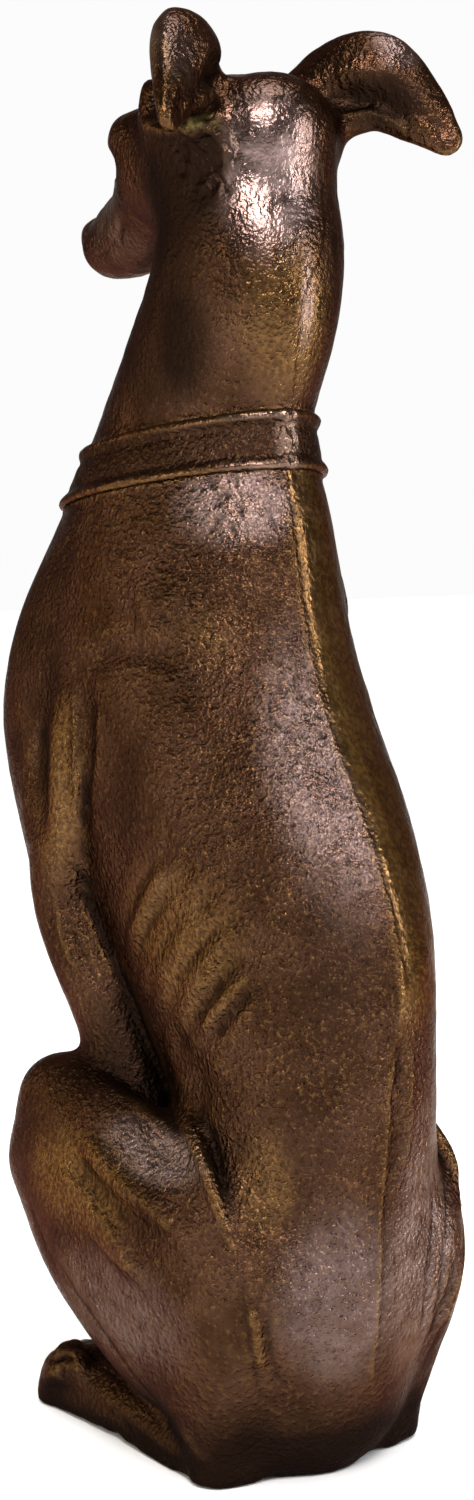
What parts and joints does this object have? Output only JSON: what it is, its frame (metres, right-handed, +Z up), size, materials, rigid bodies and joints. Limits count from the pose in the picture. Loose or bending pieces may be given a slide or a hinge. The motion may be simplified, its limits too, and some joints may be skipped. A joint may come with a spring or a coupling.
{
  "type": "dog statue",
  "caption": "Life-like statue of a slender hound sitting upright with raised ears and a plain collar; it stands by its own weight as a doorside or garden ornament.",
  "frame": {"origin": "on the ground below the middle of the statue, midway between its sides and midway between the nose side and the back", "axes": "+Z up; the dog faces -Y; its left side is +X"},
  "size_m": [0.1848, 0.2828, 0.7],
  "materials": {
    "iron": "dark brown patina with a satin gloss, worn to a golden and pinkish sheen on the high places"
  },
  "bodies": {
    "root": {"dog": "iron"}
  },
  "joints": []
}
